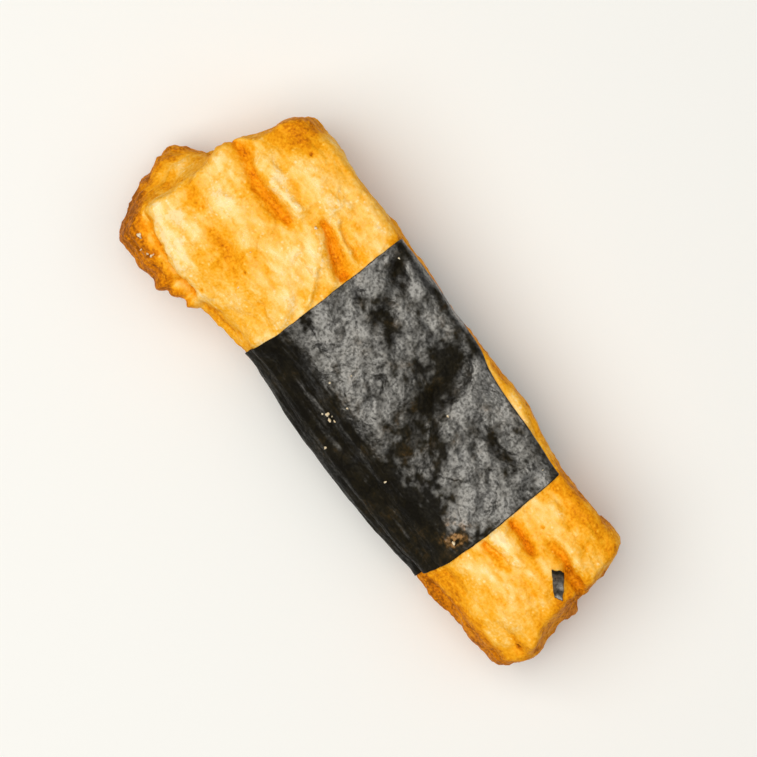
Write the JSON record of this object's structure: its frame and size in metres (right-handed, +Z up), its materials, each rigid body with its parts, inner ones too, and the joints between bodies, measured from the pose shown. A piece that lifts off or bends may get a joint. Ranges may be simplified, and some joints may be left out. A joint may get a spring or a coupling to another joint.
{
  "type": "rice cracker",
  "caption": "Puffed rice cracker stick with soft lengthwise flutes, browned bulging ends and a strip of dried seaweed wrapped round its middle.",
  "frame": {"origin": "on the ground, under the middle of the bounding box", "axes": "+X along the stick from its wide end to its narrow end, +Y towards the bare stripe between the wrap's two ends, +Z up"},
  "size_m": [0.0472, 0.0174, 0.0116],
  "materials": {
    "crust": "golden rice crust with a thin soy glaze, half glossy and finely pitted",
    "nori": "dried seaweed sheet, nearly black, wrinkled, with a dull sheen"
  },
  "bodies": {
    "root": {"cracker": "crust", "nori": "nori"}
  },
  "joints": []
}
